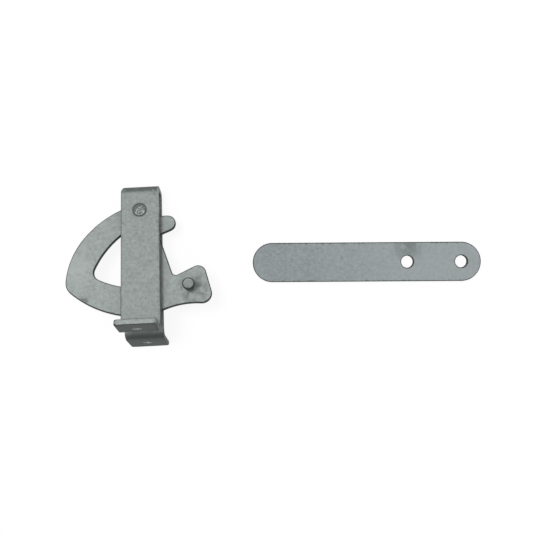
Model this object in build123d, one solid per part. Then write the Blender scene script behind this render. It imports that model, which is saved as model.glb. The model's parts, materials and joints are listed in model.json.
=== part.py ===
# D-pattern gate latch in galvanised steel, lying on its back on a table with its strike bar beside it.
# A folded strip screws to the gate post by two feet. A D-shaped catch plate swings between its legs on
# a rivet, and a stud on the plate's tail stops it against the front leg. The loose strike bar is bolted
# to the gate; the D plate drops behind it and holds it against the post.
# Millimetres. The latch is drawn upright in its own frame: x across the strip, y up the legs from the
# post face, z through the legs from the back one to the front one. It is then laid down on z = 0.

import math
import os

from build123d import *

# Folded housing strip
strip_w = 25.0
strip_t = 3.0
leg_gap = 10.6
foot_l = 26.2
fold_inner_r = 1.5
foot_inner_r = 5.0
foot_corner_r = 2.4
foot_screw_d = 5.5
foot_screw_from_tip = 13.1

# Room around the catch plate inside the housing
throat = 12.2
eye_room = 6.9

# Catch plate: edges placed from the pivot, angles counted from x towards y
plate_t = 3.0
eye_r = 7.1
back_top_r = 64.4
back_top_axis = -77.0
back_low_r = 50.3
back_join_angle = 141.6
latch_r = 68.2
nose_r = 9.5
heel_angle = -84.5
heel_r = 5.0
hollow_r = 51.8
tail_low_x = 46.2
tail_low_y = -63.0
tail_low_r = 6.3
tail_top_x = 39.2
tail_top_y = -34.5
tail_top_r = 5.3
tail_root_x = 20.1
tail_root_y = -43.3
tail_root_r = 2.5
notch_x = 11.2
notch_y = -15.3
notch_r = 3.0
tab_x = 16.9
tab_y = -7.4
tab_r = 5.2
tab_neck_r = 3.0

# D-shaped padlock hole: metal left from its corners to the cam back, latch edge and notch side
web_top = 14.2
web_nose_back = 16.0
web_nose_latch = 16.7
web_heel = 18.8
web_side = 14.0
hole_back_r = 58.6
hole_low_r = 58.0
hole_corner_r = 5.5

# Pivot rivet and its spacers
rivet_d = 5.0
rivet_head_d = 8.6
rivet_head_h = 1.7
spacer_d = 9.0
bore_play = 0.05
side_play = 0.1
rivet_fit = 0.01

# Stop stud on the tail: its neck meets the front leg's edge, its head passes over the leg
stud_x = 30.4
stud_y = -51.2
stud_neck_d = 5.0
stud_head_d = 7.3
stud_head_h = 3.0
stud_edge_r = 0.6
stud_over_leg = 1.2
stud_spigot_d = 4.0
stud_peen_d = 6.0
stud_peen_h = 0.9

# Strike bar and where it lies beside the latch
bar_l = 150.0
bar_w = 25.8
bar_t = 4.0
bar_bolt_d = 8.0
bar_bolt_pitch = 35.5
bar_clear = 22.0
bar_up = 47.6
latch_turn = 2.57

# Sizes that follow
housing_d = leg_gap + 2 * strip_t
fold_outer_r = fold_inner_r + strip_t
foot_outer_r = foot_inner_r + strip_t
pivot_y = throat + latch_r
leg_l = pivot_y + eye_r + eye_room + strip_t
spacer_l = (leg_gap - plate_t) / 2 - side_play
plate_back_z = (housing_d - plate_t) / 2
stud_neck_l = (leg_gap - plate_t) / 2 + strip_t + stud_over_leg
bar_start = tail_low_x + bar_clear


def polar(centre, radius, angle):
    return centre + Vector(radius, 0).rotate(Axis.Z, angle)


def arc_about(centre, start, end):
    """Arc of less than half a turn from one point to another, around a centre."""
    spoke = (start - centre).length
    middle = (start + end - centre * 2).normalized() * spoke
    return ThreePointArc(start, centre + middle, end)


def circles_meet(centre, radius, other, other_radius):
    """Where two circles cross, on the left of the way from the first centre to the other."""
    gap = other - centre
    along = (gap.length**2 + radius**2 - other_radius**2) / (2 * gap.length)
    across = math.sqrt(radius**2 - along**2)
    way = gap.normalized()
    return centre + way * along + way.rotate(Axis.Z, 90) * across


def line_meets_circle(start, way, centre, radius):
    """Where a line leaves a circle, going the given way."""
    foot = start + way * (centre - start).dot(way)
    half = math.sqrt(radius**2 - (foot - centre).length ** 2)
    return foot + way * half


def tangent_point(start, centre, radius):
    """Where a line from a point touches a circle on its right-hand side."""
    to_centre = centre - start
    turn = math.degrees(math.asin(radius / to_centre.length))
    length = math.sqrt(to_centre.length**2 - radius**2)
    return start + to_centre.normalized().rotate(Axis.Z, -turn) * length


def round_corners(face, corners):
    for corner, radius in corners:
        face = fillet(face.vertices().sort_by_distance(corner)[0], radius)
    return face


def rod(diameter, start, end):
    """Round bar along z between two heights."""
    return Pos(0, 0, (start + end) / 2) * Cylinder(diameter / 2, end - start)


def dome(diameter, height):
    """Spherical cap standing on z = 0."""
    ball_r = (diameter**2 / 4 + height**2) / (2 * height)
    ball = Pos(0, 0, height - ball_r) * Sphere(ball_r)
    return ball & rod(diameter, 0, height)


def make_housing():
    """One strip bent into foot, leg, flat-topped fold, leg and foot."""
    inner_line = FilletPolyline(
        (0, -foot_l),
        (0, strip_t),
        (leg_l - strip_t, strip_t),
        (leg_l - strip_t, housing_d - strip_t),
        (0, housing_d - strip_t),
        (0, housing_d + foot_l),
        radius=(foot_outer_r, fold_inner_r, fold_inner_r, foot_outer_r),
    )
    outline = make_face(offset(inner_line, amount=strip_t, side=Side.RIGHT))
    strip = extrude(Plane.YZ * outline, strip_w / 2, both=True)
    by_height = strip.edges().filter_by(Axis.Y).group_by(Axis.Z)
    strip = fillet(by_height[0] + by_height[-1], foot_corner_r)
    strip -= Pos(0, pivot_y, 0) * rod(rivet_d + 2 * rivet_fit, 0, housing_d)
    for foot_z in (foot_screw_from_tip - foot_l, housing_d + foot_l - foot_screw_from_tip):
        strip -= Pos(0, strip_t / 2, foot_z) * Rot(90, 0, 0) * Cylinder(foot_screw_d / 2, strip_t)
    return strip


# Centres and corners that the catch plate and its hole share
pivot = Vector(0, 0)
top_centre = polar(pivot, back_top_r - eye_r, back_top_axis)
low_centre = polar(top_centre, back_top_r - back_low_r, back_join_angle)
tail_root = Vector(tail_root_x, tail_root_y)
notch = Vector(notch_x, notch_y)


def plate_face():
    """Catch plate around its pivot: eye, cam back, nose, latch edge, hollow, tail, notch and tab."""
    eye_top = polar(pivot, eye_r, back_top_axis + 180)
    back_join = polar(top_centre, back_top_r, back_join_angle)
    nose = circles_meet(low_centre, back_low_r, pivot, latch_r)
    heel = polar(pivot, latch_r, heel_angle)
    tail_low = Vector(tail_low_x, tail_low_y)
    tail_top = Vector(tail_top_x, tail_top_y)
    tab = Vector(tab_x, tab_y)
    tab_under = tangent_point(notch, tab, tab_r)
    tab_top = tab + Vector(0, tab_r)
    neck = Vector(math.sqrt(eye_r**2 - tab_top.Y**2), tab_top.Y)
    outline = Curve() + [
        arc_about(top_centre, eye_top, back_join),
        arc_about(low_centre, back_join, nose),
        arc_about(pivot, nose, heel),
        RadiusArc(heel, tail_low, hollow_r),
        Line(tail_low, tail_top),
        Line(tail_top, tail_root),
        Line(tail_root, notch),
        Line(notch, tab_under),
        arc_about(tab, tab_under, tab_top),
        Line(tab_top, neck),
        arc_about(pivot, neck, eye_top),
    ]
    corners = [
        (nose, nose_r),
        (heel, heel_r),
        (tail_low, tail_low_r),
        (tail_top, tail_top_r),
        (tail_root, tail_root_r),
        (notch, notch_r),
        (neck, tab_neck_r),
    ]
    return round_corners(make_face(outline), corners)


def hole_face():
    """D-shaped hole: two bulged edges along the cam back and the latch edge, one straight by the notch."""
    side_way = (notch - tail_root).normalized()
    side_foot = tail_root + side_way.rotate(Axis.Z, 90) * web_side
    top = line_meets_circle(side_foot, side_way, top_centre, back_top_r - web_top)
    nose = circles_meet(low_centre, back_low_r - web_nose_back, pivot, latch_r - web_nose_latch)
    low = line_meets_circle(side_foot, -side_way, pivot, latch_r - web_heel)
    outline = Curve() + [
        RadiusArc(top, nose, -hole_back_r),
        RadiusArc(nose, low, -hole_low_r),
        Line(low, top),
    ]
    corners = [(corner, hole_corner_r) for corner in (top, nose, low)]
    return round_corners(make_face(outline), corners)


def make_catch_plate():
    face = plate_face() - hole_face() - Circle(rivet_d / 2 + bore_play)
    face -= Pos(stud_x, stud_y) * Circle(stud_spigot_d / 2 + rivet_fit)
    return Pos(0, pivot_y, plate_back_z) * extrude(face, plate_t)


def make_pivot_rivet():
    shank = rod(rivet_d, 0, housing_d)
    front_head = Pos(0, 0, housing_d) * dome(rivet_head_d, rivet_head_h)
    back_head = Rot(180, 0, 0) * dome(rivet_head_d, rivet_head_h)
    return Pos(0, pivot_y, 0) * (shank + front_head + back_head)


def make_spacer(start):
    ring = rod(spacer_d, start, start + spacer_l) - rod(rivet_d + 2 * bore_play, start, start + spacer_l)
    return Pos(0, pivot_y, 0) * ring


def make_stop_stud():
    head_start = plate_t + stud_neck_l
    head = rod(stud_head_d, head_start, head_start + stud_head_h)
    head = fillet(head.edges().sort_by(Axis.Z)[-1], stud_edge_r)
    neck = rod(stud_neck_d, plate_t, head_start)
    spigot = rod(stud_spigot_d, 0, plate_t)
    peened_end = Rot(180, 0, 0) * dome(stud_peen_d, stud_peen_h)
    return Pos(stud_x, pivot_y + stud_y, plate_back_z) * (head + neck + spigot + peened_end)


def make_strike_bar():
    outline = SlotOverall(bar_l, bar_w)
    end_bolt_x = (bar_l - bar_w) / 2
    for bolt_x in (end_bolt_x, end_bolt_x - bar_bolt_pitch):
        outline -= Pos(bolt_x, 0) * Circle(bar_bolt_d / 2)
    return Pos(bar_start + bar_l / 2, bar_up) * extrude(outline, bar_t)


# The latch leans back until the tip of its back foot and the back of its fold touch the table
tip_to_bend_y = leg_l - fold_outer_r - strip_t
tip_to_bend_z = foot_l + fold_outer_r
lean_reach = math.hypot(tip_to_bend_y, tip_to_bend_z)
lean = math.degrees(math.atan2(tip_to_bend_z, tip_to_bend_y) - math.asin(fold_outer_r / lean_reach))
lift = strip_t * math.sin(math.radians(lean)) + foot_l * math.cos(math.radians(lean))
laid_down = Pos(0, 0, lift) * Rot(0, 0, latch_turn) * Rot(-lean, 0, 0)

nodes = {
    "housing": laid_down * make_housing(),
    "catch_plate": laid_down * make_catch_plate(),
    "pivot_rivet": laid_down * make_pivot_rivet(),
    "back_spacer": laid_down * make_spacer(strip_t),
    "front_spacer": laid_down * make_spacer(housing_d - strip_t - spacer_l),
    "stop_stud": laid_down * make_stop_stud(),
    "strike_bar": make_strike_bar(),
}

# Origin under the middle of the whole set
box = Compound(children=[Compound(solid.wrapped) for solid in nodes.values()]).bounding_box()
to_origin = Pos(-box.center().X, -box.center().Y, -box.min.Z)

os.makedirs("parts", exist_ok=True)
for name, solid in nodes.items():
    export_step(to_origin * solid, f"parts/{name}.step")
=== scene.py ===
import json
import math

import bmesh
import bpy
import numpy as np
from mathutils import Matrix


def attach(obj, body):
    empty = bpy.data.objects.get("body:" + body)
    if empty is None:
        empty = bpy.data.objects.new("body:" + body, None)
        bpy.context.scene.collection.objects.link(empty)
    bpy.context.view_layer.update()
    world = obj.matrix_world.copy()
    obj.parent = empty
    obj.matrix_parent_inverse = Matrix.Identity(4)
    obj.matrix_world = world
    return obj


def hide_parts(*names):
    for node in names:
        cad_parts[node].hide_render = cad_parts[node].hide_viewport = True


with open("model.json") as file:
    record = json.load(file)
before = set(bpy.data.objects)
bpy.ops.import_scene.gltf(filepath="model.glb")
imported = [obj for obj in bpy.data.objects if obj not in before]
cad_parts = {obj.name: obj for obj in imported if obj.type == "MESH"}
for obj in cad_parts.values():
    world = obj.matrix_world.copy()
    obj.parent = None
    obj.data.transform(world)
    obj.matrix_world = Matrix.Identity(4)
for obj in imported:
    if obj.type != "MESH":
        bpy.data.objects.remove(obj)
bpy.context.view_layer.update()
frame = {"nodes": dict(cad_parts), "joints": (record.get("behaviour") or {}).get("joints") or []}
print("frame loaded")

# The latch's own axes: its pivot, out of the plate, across the strap and up the legs
joint = frame["joints"][0]
pivotPoint = np.array(joint["pos_m"])
outOfPlate = np.array(joint["axis"]) / np.linalg.norm(joint["axis"])
acrossStrap = np.cross(outOfPlate, (0, 0, 1))
acrossStrap /= np.linalg.norm(acrossStrap)
upTheLegs = np.cross(outOfPlate, acrossStrap)
latchAxes = np.stack([acrossStrap, upTheLegs, outOfPlate])


def meshPoints(mesh):
    # a mesh's corner points in metres, one row each
    points = np.empty(len(mesh.vertices) * 3)
    mesh.vertices.foreach_get("co", points)
    return points.reshape(-1, 3)


def nodePoints(node):
    return meshPoints(frame["nodes"][node].data)


def alongLatch(points):
    # millimetres across, up and out from the pivot, along the latch's own axes
    return (points - pivotPoint) @ latchAxes.T * 1000


def latchPlace(across, up, out):
    # the other way round: the place in metres of one such point
    return tuple(pivotPoint + np.array((across, up, out)) @ latchAxes / 1000)


# What the finishes and pieces measure from the frame, in millimetres
nearPivot = 5  # the front leg's face is measured no further than this above or below the pivot
strapPoints = alongLatch(nodePoints("housing"))
foldTop = strapPoints[:, 1].max()
footFace = strapPoints[:, 1].min()
strapHalf = strapPoints[:, 0].max()
legFace = strapPoints[np.abs(strapPoints[:, 1]) < nearPivot][:, 2].max()
barPoints = nodePoints("strike_bar") * 1000
barMiddle = (barPoints.min(axis=0) + barPoints.max(axis=0)) / 2
barHalf = (barPoints.max(axis=0) - barPoints.min(axis=0)) / 2
plateFaces = (nodePoints("catch_plate") - pivotPoint) @ outOfPlate * 1000
studPoints = alongLatch(nodePoints("stop_stud"))
studMiddle = (studPoints[:, :2].min(axis=0) + studPoints[:, :2].max(axis=0)) / 2
print("strap", foldTop, footFace, strapHalf, legFace, "bar", barMiddle, barHalf)


def linearColour(hexColour):
    # each sRGB part c becomes ((c + 0.055) / 1.055) to the power 2.4, or c / 12.92 when it is dark
    parts = [int(hexColour[i:i + 2], 16) / 255 for i in (0, 2, 4)]
    return [((c + 0.055) / 1.055) ** 2.4 if c > 0.04045 else c / 12.92 for c in parts] + [1.0]


def addNode(tree, kind, settings, links=None):
    # a name in settings or links is a property, an input's name, or an input's number
    node = tree.nodes.new(kind)
    for name, value in settings.items():
        if isinstance(name, str) and hasattr(node, name):
            setattr(node, name, value)
        else:
            node.inputs[name].default_value = value
    for name, socket in (links or {}).items():
        tree.links.new(socket, node.inputs[name])
    return node


def newMaterial(name):
    material = bpy.data.materials.new(name)
    material.use_nodes = True
    material.node_tree.nodes.clear()
    return material, material.node_tree


noiseSpan = {"From Min": 0.3, "From Max": 0.7}  # the noise values that a tone or roughness spreads over
speckEdge = 0.06  # a speck is full this much of noise value after it begins
patchEdges = (-0.04, 0.10)  # a mark's patch begins and is full this much from its own noise value


def mottle(tree, place, sizeMm, depth):
    # noise of about the given size, made to run from 1 - depth to 1 + depth
    noise = addNode(tree, "ShaderNodeTexNoise", {"Scale": 1000 / sizeMm, "Detail": 3.0}, {"Vector": place})
    tone = addNode(tree, "ShaderNodeMapRange", {**noiseSpan, "To Min": 1 - depth, "To Max": 1 + depth},
                   {"Value": noise.outputs["Fac"]})
    return tone.outputs[0], noise.outputs["Fac"]


def markMask(tree, place, mark):
    # grows from 0 to mark["depth"] between two distances from its centre, or along a way from it, in
    # patches of noise
    offset = addNode(tree, "ShaderNodeVectorMath", {"operation": "SUBTRACT", 1: mark["centre"]}, {0: place})
    measure = {"operation": "LENGTH"}
    if "way" in mark:
        measure = {"operation": "DOT_PRODUCT", 1: mark["way"]}
    reach = addNode(tree, "ShaderNodeVectorMath", measure, {0: offset.outputs[0]}).outputs["Value"]
    if mark.get("bothWays"):
        reach = addNode(tree, "ShaderNodeMath", {"operation": "ABSOLUTE"}, {0: reach}).outputs[0]
    fade = addNode(tree, "ShaderNodeMapRange",
                   {"interpolation_type": "SMOOTHSTEP", "From Min": mark["fromMm"] / 1000,
                    "From Max": mark["fullMm"] / 1000, "To Max": mark["depth"]}, {"Value": reach})
    noise = addNode(tree, "ShaderNodeTexNoise", {"Scale": 1000 / mark["patchMm"], "Detail": 2.0},
                    {"Vector": place})
    begins, isFull = [mark["patchFrom"] + edge for edge in patchEdges]
    patches = addNode(tree, "ShaderNodeMapRange", {"From Min": begins, "From Max": isFull},
                      {"Value": noise.outputs["Fac"]})
    mask = addNode(tree, "ShaderNodeMath", {"operation": "MULTIPLY"},
                   {0: fade.outputs[0], 1: patches.outputs[0]})
    return mask.outputs[0]


def zincFinish(name, look, marks=()):
    # tone = base colour x clouds x grain x fine grain x crystal cells; specks and the piece's own marks are
    # laid over it
    material, tree = newMaterial(name)
    place = addNode(tree, "ShaderNodeTexCoord", {}).outputs["Object"]
    clouds, cloudNoise = mottle(tree, place, look["cloudMm"], look["cloudDepth"])
    grain, grainNoise = mottle(tree, place, look["grainMm"], look["grainDepth"])
    fine = mottle(tree, place, look["fineMm"], look["fineDepth"])[0]
    cells = addNode(tree, "ShaderNodeTexVoronoi", {"Scale": 1000 / look["cellMm"]}, {"Vector": place})
    cellGrey = addNode(tree, "ShaderNodeSeparateColor", {}, {"Color": cells.outputs["Color"]})
    cellTone = addNode(tree, "ShaderNodeMapRange",
                       {"To Min": 1 - look["cellDepth"], "To Max": 1 + look["cellDepth"]},
                       {"Value": cellGrey.outputs["Red"]})
    tone = clouds
    for layer in (grain, fine, cellTone.outputs[0]):
        tone = addNode(tree, "ShaderNodeMath", {"operation": "MULTIPLY"}, {0: tone, 1: layer}).outputs[0]
    colour = addNode(tree, "ShaderNodeMix",
                     {"data_type": "RGBA", "blend_type": "MULTIPLY", 0: 1.0, 6: linearColour(look["colour"])},
                     {7: tone}).outputs[2]
    specks = addNode(tree, "ShaderNodeTexNoise", {"Scale": 1000 / look["speckMm"], "Detail": 2.0},
                     {"Vector": place})
    speckMask = addNode(tree, "ShaderNodeMapRange",
                        {"From Min": look["speckFrom"], "From Max": look["speckFrom"] + speckEdge,
                         "To Max": look["speckDepth"]}, {"Value": specks.outputs["Fac"]})
    colour = addNode(tree, "ShaderNodeMix", {"data_type": "RGBA", 7: linearColour(look["speckColour"])},
                     {0: speckMask.outputs[0], 6: colour}).outputs[2]
    for mark in marks:
        colour = addNode(tree, "ShaderNodeMix", {"data_type": "RGBA", 7: linearColour(mark["colour"])},
                         {0: markMask(tree, place, mark), 6: colour}).outputs[2]
    rough = addNode(tree, "ShaderNodeMapRange",
                    {**noiseSpan, "To Min": look["rough"] - look["roughSpread"],
                     "To Max": look["rough"] + look["roughSpread"]}, {"Value": cloudNoise})
    bump = addNode(tree, "ShaderNodeBump", {"Strength": look["bump"], "Distance": look["bumpMm"] / 1000},
                   {"Height": grainNoise})
    shader = addNode(tree, "ShaderNodeBsdfPrincipled",
                     {"Metallic": look["metallic"], "Specular IOR Level": look["sheen"]},
                     {"Base Color": colour, "Roughness": rough.outputs[0], "Normal": bump.outputs[0]})
    addNode(tree, "ShaderNodeOutputMaterial", {}, {"Surface": shader.outputs[0]})
    return material


def placePiece(piece, node, body):
    # the piece stands for a CAD node and rides on its body
    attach(piece, body)
    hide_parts(node)
    print(piece.name, len(piece.data.polygons), "faces")
    return piece


# The place of each finish in an outlined piece's list: its faces, sheared walls, rounded rims, small bores,
# tips and undersides
finishAt = {"face": 0, "wall": 1, "rim": 2, "bore": 3, "tip": 4, "under": 5}
weldMm = 0.001  # corners of a CAD mesh nearer than this are one
flatDeg = 0.4  # its faces that meet flatter than this become one
outlineDeg = 35  # its edges that meet sharper than this are rounded
upShare = 0.2  # how much a rim that faces along the legs counts towards painted light, against one that faces out
flatWeight = 80  # 50 is even, and above it a wide face keeps its own shading up to the rim


def outlinePiece(name, node, body, shape, finishes):
    # a merged copy of a CAD plate with its sharp edges rounded by a small arc of shape["edgeMm"]. The limits
    # in shape are compared with parts of a face's normal: out of the plate, up the legs or across the strap
    work = bmesh.new()
    work.from_mesh(frame["nodes"][node].data)
    bmesh.ops.remove_doubles(work, verts=work.verts, dist=weldMm / 1000)
    bmesh.ops.dissolve_limit(work, angle_limit=math.radians(flatDeg), verts=work.verts, edges=work.edges)
    sharp = [e for e in work.edges
             if len(e.link_faces) == 2 and e.calc_face_angle() > math.radians(outlineDeg)]
    for rank, region in enumerate(smoothRegions(work, set(sharp))):
        for face in region:
            if rank < 2:  # the two widest regions are the piece's own two sides
                part = "under" if -face.normal.dot(upTheLegs) > shape["underLimit"] else "face"
            elif abs(face.normal.dot(outOfPlate)) > shape["tipLimit"]:
                part = "tip"
            else:
                part = "bore" if rank >= shape["firstBore"] else "wall"
            face.material_index = finishAt[part]
    rounded = bmesh.ops.bevel(work, geom=sharp, offset=shape["edgeMm"] / 1000, segments=shape["edgeSteps"],
                              profile=0.5, affect="EDGES", clamp_overlap=False, material=finishAt["rim"])
    rims = set(rounded["faces"])
    stack = [f for f in work.faces if f.material_index == finishAt["bore"]]
    while stack:  # the rims of a bore are as bright as the bore where they turn into it
        near = {f for e in stack.pop().edges for f in e.link_faces} & rims
        rims -= near
        stack.extend(near)
        for face in near:
            inside = abs(face.normal.dot(upTheLegs)) < shape["boreFrom"]
            face.material_index = finishAt["bore" if inside else "under"]
    for face in rims:  # other rims take the tips' painted light where they face out of the plate, the wall's tone where they face right, and keep the rim's dark painted shade elsewhere
        out, up = abs(face.normal.dot(outOfPlate)), abs(face.normal.dot(upTheLegs))
        if out + upShare * up > shape["lightFrom"]:
            face.material_index = finishAt["tip"]
        elif face.normal.dot(acrossStrap) > shape["plainFrom"]:
            face.material_index = finishAt["wall"]
    mesh = bpy.data.meshes.new(name)
    work.to_mesh(mesh)
    work.free()
    for finish in finishes:
        mesh.materials.append(finish)
    mesh.polygons.foreach_set("use_smooth", np.ones(len(mesh.polygons), bool))
    piece = bpy.data.objects.new(name, mesh)
    bpy.context.scene.collection.objects.link(piece)
    flatten = piece.modifiers.new("flatFaces", "WEIGHTED_NORMAL")
    flatten.keep_sharp = True
    flatten.weight = flatWeight
    return placePiece(piece, node, body)


def smoothRegions(work, borders):
    # faces joined across edges that are no border, the widest region first
    seen = set()
    regions = []
    for first in work.faces:
        if first in seen:
            continue
        region, stack = [], [first]
        seen.add(first)
        while stack:
            face = stack.pop()
            region.append(face)
            near = {f for e in face.edges if e not in borders for f in e.link_faces} - seen
            seen |= near
            stack.extend(near)
        regions.append(region)
    return sorted(regions, key=lambda r: -sum(f.calc_area() for f in r))


turnedDeg = 40  # a turned piece's edges that meet sharper than this are shaded sharp


def turnedPiece(name, node, body, centre, profile, spokes, finishes, relief):
    # profile rows are distance along outOfPlate, radius and the finish of the band that starts there, from
    # pole to pole; point = centre + along x outOfPlate + radius x (cos t x across + sin t x up), and relief
    # moves it along outOfPlate
    along, radius, band = np.array(profile).T
    turn = np.arange(spokes) * 2 * math.pi / spokes
    across = radius[1:-1, None] * np.cos(turn)
    up = radius[1:-1, None] * np.sin(turn)
    out = np.repeat(along[1:-1, None], spokes, axis=1)
    out = out + relief(across, up, out)
    ring = np.stack([across, up, out], axis=-1).reshape(-1, 3)
    poles = np.array([(0, 0, along[0]), (0, 0, along[-1])])
    points = centre + np.concatenate([ring, poles]) @ latchAxes / 1000
    rows = len(along) - 2
    index = np.arange(rows * spokes).reshape(rows, spokes)
    ahead = np.roll(index, -1, axis=1)
    quads = np.stack([index[:-1], ahead[:-1], ahead[1:], index[1:]], axis=-1).reshape(-1, 4).tolist()
    first = np.stack([ahead[0], index[0], np.full(spokes, rows * spokes)], axis=-1).tolist()
    last = np.stack([index[-1], ahead[-1], np.full(spokes, rows * spokes + 1)], axis=-1).tolist()
    mesh = bpy.data.meshes.new(name)
    mesh.from_pydata(points.tolist(), [], quads + first + last)
    mesh.polygons.foreach_set("use_smooth", np.ones(len(mesh.polygons), bool))
    bands = np.append(band[1:-2], (band[0], band[-2]))  # those of the quads, then of the ends' triangles
    mesh.polygons.foreach_set("material_index", np.repeat(bands, spokes).astype(int))
    mesh.set_sharp_from_angle(angle=math.radians(turnedDeg))
    for finish in finishes:
        mesh.materials.append(finish)
    piece = bpy.data.objects.new(name, mesh)
    bpy.context.scene.collection.objects.link(piece)
    return placePiece(piece, node, body)


def domeRows(rim, top, radius, steps):
    # cap of a ball over a rim: along = ball centre + sqrt(ball^2 - r^2), from the rim up to the pole
    height = top - rim
    ball = (radius ** 2 + height ** 2) / (2 * abs(height))
    r = radius * np.linspace(1, 0, steps)
    along = rim + np.sign(height) * (np.sqrt(ball ** 2 - r ** 2) - ball + abs(height))
    return np.stack([along, r, np.zeros(steps)], axis=1).tolist()


def easeIn(part):
    # 3 p^2 - 2 p^3, with p held between 0 and 1
    held = np.clip(part, 0, 1)
    return 3 * held ** 2 - 2 * held ** 3


# Galvanised steel: sheared and bent strip, dipped in zinc that has dulled to an even grey. The eye gets a
# matte grey with a slight green cast, faint clouds, fine mottling and a few darker specks
dippedLook = {
    "colour": "9aa19e", "metallic": 0.3, "rough": 0.6, "roughSpread": 0.05, "sheen": 0.25,
    "bump": 0.4, "bumpMm": 0.03,
    "cloudMm": 16, "cloudDepth": 0.04, "grainMm": 2.2, "grainDepth": 0.12, "fineMm": 0.8, "fineDepth": 0.12,
    "cellMm": 4.5, "cellDepth": 0.03,
    "speckMm": 1.8, "speckFrom": 0.66, "speckDepth": 0.5, "speckColour": "606765",
}
# Sheared walls: the tool's drag leaves them rough and thinly zinced. Their darker tone is painted shade,
# deepest on the stamped plate and the bar, lighter on the strap, with a painted highlight beside its fold
wallLook = dict(dippedLook, rough=0.65, grainDepth=0.2, speckDepth=0.6, speckColour="3c4241")
# painted highlight on the strap's walls near the fold
foldWallHighlight = {
    "centre": latchPlace(0, foldTop, 0), "way": tuple(upTheLegs), "fromMm": -28, "fullMm": -16,
    "patchMm": 4.0, "patchFrom": 0.15, "depth": 0.75, "colour": "b6bdba",
}
strapWall = zincFinish("shearedStrapWall", dict(wallLook, colour="7e8583"), [foldWallHighlight])
plateWall = zincFinish("shearedPlateWall", dict(wallLook, colour="4b5251"))
# Rounded rims: a dark line round every outline, painted shade where the rounding turns away from the light
rimShadeFinish = zincFinish("paintedShadeRim", dict(wallLook, colour="3e4443"))
# Sheared foot ends and rims that face out of the plate: painted light, a little lighter than the faces
litTipFinish = zincFinish("paintedLightTip", dict(dippedLook, colour="9fa6a3", fineDepth=0.2))
# Drilled screw holes: clean metal left bright inside
boreLook = dict(dippedLook, colour="949a97", metallic=1.0, rough=0.3, bump=0.1, speckDepth=0.0)
boreFinish = zincFinish("drilledBore", boreLook)

# Folded strap: dark over the fold, partly crazed zinc and partly painted shade where the bend turns away,
# and painted shade under the feet. The rest, in order, is a painted shadow band where the back foot bends,
# lighter patches along the left edge, a painted shade ring round the rivet head and dark knocks along both
# long edges
strapWearAndShade = [
    # dark over the fold: crazed zinc and painted shade
    {"centre": latchPlace(0, foldTop, 0), "way": tuple(upTheLegs), "fromMm": -6.0, "fullMm": -3.6,
     "patchMm": 1.8, "patchFrom": 0.32, "depth": 0.68, "colour": "4b5251"},
    # painted shade under the feet
    {"centre": latchPlace(0, footFace, 0), "way": tuple(upTheLegs), "fromMm": 3.2, "fullMm": 0.3,
     "patchMm": 3.0, "patchFrom": 0.2, "depth": 0.75, "colour": "666e6c"},
    # painted shadow band where the back foot bends
    {"centre": latchPlace(0, footFace + 1.8, -legFace), "way": tuple((outOfPlate + upTheLegs) / math.sqrt(2)),
     "bothWays": True, "fromMm": 4.2, "fullMm": 1.0, "patchMm": 4.0, "patchFrom": 0.25, "depth": 0.65,
     "colour": "3c4241"},
    {"centre": latchPlace(0, 0, 0), "way": tuple(-acrossStrap), "fromMm": strapHalf - 1.3,
     "fullMm": strapHalf - 0.8, "patchMm": 1.5, "patchFrom": 0.6, "depth": 0.8, "colour": "ccd2cf"},
    # painted shade ring round the rivet head
    {"centre": latchPlace(0, 0, legFace), "fromMm": 5.2, "fullMm": 4.5,
     "patchMm": 2.0, "patchFrom": 0.25, "depth": 0.55, "colour": "4b5251"},
    {"centre": latchPlace(0, 0, 0), "way": tuple(acrossStrap), "bothWays": True, "fromMm": strapHalf - 1.8,
     "fullMm": strapHalf - 0.6, "patchMm": 2.1, "patchFrom": 0.52, "depth": 0.65, "colour": "4b5251"},
]
strapFinish = zincFinish("dippedStrap", dippedLook, strapWearAndShade)
# Undersides of the feet: a shaded copy of the strip, duller and rougher so that they render darker, with the
# same marks and painted shade
shadedUnderFinish = zincFinish("dulledShadedStrap", dict(dippedLook, metallic=0.15, rough=0.7, sheen=0.15), strapWearAndShade)

# Catch plate: a patchy painted highlight on the cam side, a knock on the latch edge, darker round the stud
# and mostly to its right
catchMarksAndHighlight = [
    # patchy painted highlight on the cam side
    {"centre": latchPlace(-41, -32, 0), "fromMm": 19, "fullMm": 5, "patchMm": 6.0, "patchFrom": 0.42,
     "depth": 0.6, "colour": "b2b9b6"},
    {"centre": latchPlace(-36.5, -56.5, 0), "fromMm": 4, "fullMm": 1.5, "patchMm": 1.5, "patchFrom": 0.42,
     "depth": 0.7, "colour": "3f4544"},
    {"centre": latchPlace(studMiddle[0] + 2, studMiddle[1], 0), "fromMm": 13, "fullMm": 6, "patchMm": 4.2,
     "patchFrom": 0.47, "depth": 0.55, "colour": "656c6a"},
]
catchFinish = zincFinish("dippedCatch", dict(dippedLook, colour="a0a7a4"), catchMarksAndHighlight)

# Strike bar: painted light, paler towards its drilled end; a dark handling smudge above the inner hole;
# knocks along its edges
barMarksAndLight = [
    # painted light: paler towards the drilled end
    {"centre": tuple(barMiddle / 1000), "way": (1, 0, 0), "fromMm": -70, "fullMm": 60, "patchMm": 5.0,
     "patchFrom": 0.0, "depth": 0.4, "colour": "b6bdbd"},
    {"centre": tuple((barMiddle + (27, 11, barHalf[2])) / 1000), "fromMm": 14, "fullMm": 1, "patchMm": 6.0,
     "patchFrom": 0.34, "depth": 0.55, "colour": "5c6362"},
    {"centre": tuple(barMiddle / 1000), "way": (0, 1, 0), "bothWays": True, "fromMm": barHalf[1] - 1.6,
     "fullMm": barHalf[1] - 0.5, "patchMm": 2.4, "patchFrom": 0.57, "depth": 0.75, "colour": "3f4544"},
]
barFinish = zincFinish("dippedBar", dict(dippedLook, colour="909798"), barMarksAndLight)

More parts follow.
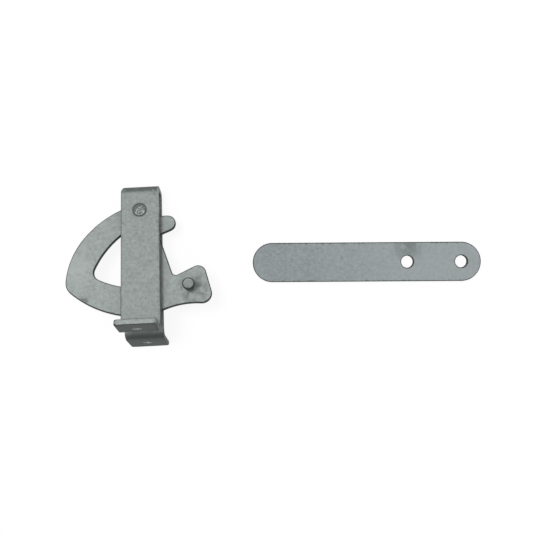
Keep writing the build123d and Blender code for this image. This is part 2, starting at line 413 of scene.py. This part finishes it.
# Turned and headed steel with a thin zinc plating, a little smoother than the dipped strip
platedLook = dict(dippedLook, colour="7e8482", rough=0.45, metallic=0.4, cellDepth=0.0, grainMm=1.0,
                  grainDepth=0.2)
platedFinish = zincFinish("platedSteel", platedLook)
# Rivet heads: the same, darker, with a small painted highlight near the dome's top, up and to the left
headHighlight = {
    "centre": latchPlace(-0.4, 0.6, 0), "fromMm": legFace + 1.55, "fullMm": legFace + 1.7,
    "patchMm": 1.3, "patchFrom": 0.46, "depth": 0.75, "colour": "b6bdba",
}
highlightedHeadFinish = zincFinish("paintedHighlightHead", dict(platedLook, colour="6c7270"), [headHighlight])
print("finishes made")

# Folded strap: the CAD strip with rounded rims, drawn in at its fold and at the front foot's bend, swollen
# at the front foot's end and trimmed along the left edge. A pair of values is for its left and right side
strapShape = {
    "edgeMm": 0.8, "edgeSteps": 4, "thickMm": 3.0, "firstBore": 3,
    "boreFrom": 0.6, "tipLimit": 0.8, "underLimit": 0.7, "lightFrom": 0.9, "plainFrom": 0.3,
    "bendMm": 4.6, "drawMm": (1.6, 0.1),
    "footReachMm": 9.0, "footDrawMm": (2.0, 0.4), "riseMm": 1.8,
    "tipReachMm": 8.0, "tipSpreadMm": (-0.5, 1.6), "tipRiseMm": 0.6,
    "trimReachMm": 25.0, "trimMm": (0.55, 0),
}
strap = outlinePiece("foldedStrap", "housing", "strap", strapShape,
                     (strapFinish, strapWall, rimShadeFinish, boreFinish, litTipFinish, shadedUnderFinish))
local = alongLatch(meshPoints(strap.data))
onLeft = local[:, 0] < 0
# at the fold the half width shrinks by draw x (height into the bend / bend)^2
intoBend = np.clip((local[:, 1] - (foldTop - strapShape["bendMm"])) / strapShape["bendMm"], 0, 1)
draw = np.where(onLeft, *strapShape["drawMm"]) * intoBend ** 2
# at the front foot it shrinks by draw x pull and the strip rises by rise x pull, with
# pull = easeIn(1 - distance from the bend's corner / reach)
fromCorner = np.hypot(local[:, 1] - footFace, local[:, 2] - legFace + strapShape["thickMm"])
pull = easeIn(1 - fromCorner / strapShape["footReachMm"])
local[:, 0] *= 1 - (draw + np.where(onLeft, *strapShape["footDrawMm"]) * pull) / strapHalf
local[:, 1] += strapShape["riseMm"] * pull
# the front foot's sheared end is swollen: width and thickness grow with swell = easeIn(1 - distance from
# the tip / reach)
swell = easeIn((local[:, 2] - local[:, 2].max()) / strapShape["tipReachMm"] + 1)
local[:, 0] *= 1 + np.where(onLeft, *strapShape["tipSpreadMm"]) * swell / strapHalf
local[:, 1] += strapShape["tipRiseMm"] * swell * (local[:, 1] - footFace) / strapShape["thickMm"]
# the legs' left edge is sheared a trim narrower, growing with the height over the feet up to its reach
overFeet = np.clip((local[:, 1] - footFace) / strapShape["trimReachMm"], 0, 1)
local[:, 0] *= 1 - np.where(onLeft, *strapShape["trimMm"]) * overFeet / strapHalf
strap.data.vertices.foreach_set("co", (pivotPoint + local @ latchAxes / 1000).ravel())
strap.data.update()

# Catch plate: stamped, with the same small rounding all round its outline and holes. One finish does for all
# walls of the plate and the bar: firstBore lies past their last one, and no part of a normal reaches 2
flatShape = {"edgeSteps": 3, "firstBore": 9, "tipLimit": 2, "underLimit": 2, "lightFrom": 2, "plainFrom": 2}
catchShape = dict(flatShape, edgeMm=0.6)
outlinePiece("catchPlate", "catch_plate", "catch", catchShape,
             (catchFinish, plateWall, rimShadeFinish))

# Strike bar: round-ended flat with two bolt holes, their walls dark
barShape = dict(flatShape, edgeMm=0.55)
outlinePiece("strikeBar", "strike_bar", "strap", barShape,
             (barFinish, plateWall, rimShadeFinish))

# Pivot rivet: a shank with a hammered head at each end
rivetPoints = alongLatch(nodePoints("pivot_rivet"))
rivetReach = np.hypot(rivetPoints[:, 0], rivetPoints[:, 1])
offAxis = rivetReach > 1  # leaves out the middles of the two heads
rivetShape = {
    "headR": rivetReach.max(), "top": rivetPoints[:, 2].max(), "shankR": rivetReach[offAxis].min(),
    "rimMm": 0.45, "steps": 14, "spokes": 64,
    "hammerMm": 0.2, "waves": (1.9, 2.2), "shifts": (0.7, -0.5), "crossShare": 0.5, "crossWaves": (3.4, -1.7),
}


def hammered(across, up, out):
    # shallow overlapping dents: a wave across x a wave up + a share of a slanted wave, in radians per mm,
    # fading to nothing at the rim
    waves, shifts, crossWaves = rivetShape["waves"], rivetShape["shifts"], rivetShape["crossWaves"]
    fade = 1 - np.clip((across ** 2 + up ** 2) / rivetShape["headR"] ** 2, 0, 1)
    dents = np.sin(waves[0] * across + shifts[0]) * np.sin(waves[1] * up + shifts[1])
    dents += rivetShape["crossShare"] * np.sin(crossWaves[0] * across + crossWaves[1] * up)
    return np.where(np.abs(out) > legFace, np.sign(out) * rivetShape["hammerMm"] * dents * fade, 0)


frontDome = domeRows(legFace + rivetShape["rimMm"], rivetShape["top"], rivetShape["headR"],
                     rivetShape["steps"])
frontHalf = [[legFace, rivetShape["shankR"], 0], [legFace, rivetShape["headR"], 0]] + frontDome
backHalf = [[-along, radius, 0] for along, radius, band in reversed(frontHalf)]
for row in frontHalf[1:3] + backHalf[-4:-2]:
    row[2] = 1  # both heads get painted shade round the rim
turnedPiece("pivotRivet", "pivot_rivet", "strap", pivotPoint, backHalf + frontHalf,
            rivetShape["spokes"], (highlightedHeadFinish, rimShadeFinish), hammered)

# Stop stud: peened spigot, neck, and a head whose barrel and rounded edge carry the rims' painted shade,
# with a small pip left by the turning
studShape = {
    "top": studPoints[:, 2].max(), "tip": studPoints[:, 2].min(),
    "plate": (plateFaces.min(), plateFaces.max()),
    "headR": 3.75, "headMm": 3.0, "neckR": 2.5, "spigotR": 2.0, "peenR": 3.0, "peenSteps": 8,
    "edgeMm": 0.45, "edgeSteps": 5, "spokes": 64, "faceSteps": 18,
    "pip": (-0.3, -2.2), "pipMm": 0.45, "pipDeep": 0.3, "pipReach": 0.01,
}


def pipped(across, up, out):
    # one small round dent in the head's face: depth x exp(-(distance / width)^2); pipReach is how far
    # under the top a point still counts as the face
    away = np.hypot(across - studShape["pip"][0], up - studShape["pip"][1]) / studShape["pipMm"]
    onFace = out > studShape["top"] - studShape["pipReach"]
    return np.where(onFace, -studShape["pipDeep"] * np.exp(-away ** 2), 0)


peen = domeRows(studShape["plate"][0], studShape["tip"], studShape["peenR"], studShape["peenSteps"])
bend = np.linspace(0, math.pi / 2, studShape["edgeSteps"])
roundR = studShape["headR"] - studShape["edgeMm"] * (1 - np.cos(bend))
roundAlong = studShape["top"] - studShape["edgeMm"] * (1 - np.sin(bend))
faceR = np.linspace(roundR[-1], 0, studShape["faceSteps"])[1:]
headStart = studShape["top"] - studShape["headMm"]
studProfile = peen[::-1] + [
    [studShape["plate"][0], studShape["spigotR"], 0], [studShape["plate"][1], studShape["spigotR"], 0],
    [studShape["plate"][1], studShape["neckR"], 0], [headStart, studShape["neckR"], 0],
    [headStart, studShape["headR"], 1],
]
studProfile += [[along, radius, 1] for along, radius in zip(roundAlong, roundR)]
studProfile += [[studShape["top"], radius, 0] for radius in faceR]
studAxis = np.array(latchPlace(*studMiddle, 0))
turnedPiece("stopStud", "stop_stud", "catch", studAxis, studProfile, studShape["spokes"],
            (platedFinish, rimShadeFinish), pipped)

# Spacers: the CAD's own rings, plated like the rivet
for node in ("back_spacer", "front_spacer"):
    part = frame["nodes"][node]
    part.data.materials.clear()
    part.data.materials.append(platedFinish)
print("pieces made")


def seenOnly(tree):
    # 1 for a ray from the camera, a mirror-like surface or glass, 0 for soft light
    path = addNode(tree, "ShaderNodeLightPath", {}).outputs
    seen = addNode(tree, "ShaderNodeMath", {"operation": "MAXIMUM"},
                   {0: path["Is Camera Ray"], 1: path["Is Glossy Ray"]})
    seen = addNode(tree, "ShaderNodeMath", {"operation": "MAXIMUM"},
                   {0: seen.outputs[0], 1: path["Is Transmission Ray"]})
    return seen.outputs[0]


# Floor: pale paper that a camera or a mirror-like ray sees as white, with the object's shadow kept
floorLook = {"size": 6.0, "drop": 0.00005, "colour": "6a6a6a", "glow": 0.9}
floorMesh = bpy.data.meshes.new("floor")
corners = np.array([(-1, -1), (1, -1), (1, 1), (-1, 1)]) * floorLook["size"] / 2
floorMesh.from_pydata([(x, y, -floorLook["drop"]) for x, y in corners], [], [(0, 1, 2, 3)])
floor = bpy.data.objects.new("floor", floorMesh)
bpy.context.scene.collection.objects.link(floor)
floorPaper, tree = newMaterial("paleFloor")
glow = addNode(tree, "ShaderNodeMath", {"operation": "MULTIPLY", 1: floorLook["glow"]}, {0: seenOnly(tree)})
lit = addNode(tree, "ShaderNodeBsdfDiffuse", {"Color": linearColour(floorLook["colour"])})
white = addNode(tree, "ShaderNodeEmission", {}, {"Strength": glow.outputs[0]})
both = addNode(tree, "ShaderNodeAddShader", {}, {0: lit.outputs[0], 1: white.outputs[0]})
addNode(tree, "ShaderNodeOutputMaterial", {}, {"Surface": both.outputs[0]})
floorMesh.materials.append(floorPaper)

# Room: light from overhead that falls off towards the horizon, as under a wide soft box, and a white
# backdrop that gives no soft light
roomLook = {"overhead": "ffffff", "horizon": "585858", "strength": 0.55, "backdrop": "ffffff"}
room = bpy.data.worlds.new("room")
room.use_nodes = True
tree = room.node_tree
tree.nodes.clear()
direction = addNode(tree, "ShaderNodeTexCoord", {}).outputs["Generated"]
height = addNode(tree, "ShaderNodeSeparateXYZ", {}, {"Vector": direction}).outputs["Z"]
sky = addNode(tree, "ShaderNodeMix", {"data_type": "RGBA", 6: linearColour(roomLook["horizon"]),
              7: linearColour(roomLook["overhead"])}, {0: height})
softBox = addNode(tree, "ShaderNodeBackground", {"Strength": roomLook["strength"]},
                  {"Color": sky.outputs[2]})
backdrop = addNode(tree, "ShaderNodeBackground", {"Color": linearColour(roomLook["backdrop"])})
both = addNode(tree, "ShaderNodeMixShader", {},
               {0: seenOnly(tree), 1: softBox.outputs[0], 2: backdrop.outputs[0]})
addNode(tree, "ShaderNodeOutputWorld", {}, {"Surface": both.outputs[0]})
bpy.context.scene.world = room

# Key light: one round soft box, up and to the left, turned so that it shines at the origin
keyLook = {"size": 0.7, "watts": 20.0, "place": (-0.48, 0.42, 2.2)}
lamp = bpy.data.lights.new("keyBox", "AREA")
lamp.shape = "DISK"
lamp.size = keyLook["size"]
lamp.energy = keyLook["watts"]
keyBox = bpy.data.objects.new("keyBox", lamp)
keyBox.location = keyLook["place"]
aimX, aimY, aimZ = -np.array(keyLook["place"])
tilt = math.atan2(math.hypot(aimX, aimY), -aimZ)
keyBox.rotation_euler = (tilt, 0, math.atan2(aimY, aimX) - math.pi / 2)
keyBox.visible_camera = False
bpy.context.scene.collection.objects.link(keyBox)

# Camera: straight down over the pair
cameraLook = {"lensMm": 56.95, "sensorMm": 36, "place": (-0.006862, 0.000106, 0.5581), "rollDeg": -0.38}
cameraData = bpy.data.cameras.new("camera")
cameraData.sensor_width = cameraLook["sensorMm"]
cameraData.lens = cameraLook["lensMm"]
camera = bpy.data.objects.new("camera", cameraData)
camera.location = cameraLook["place"]
camera.rotation_euler = (0, 0, math.radians(cameraLook["rollDeg"]))
bpy.context.scene.collection.objects.link(camera)
bpy.context.scene.camera = camera
bpy.context.scene.view_settings.view_transform = "Standard"
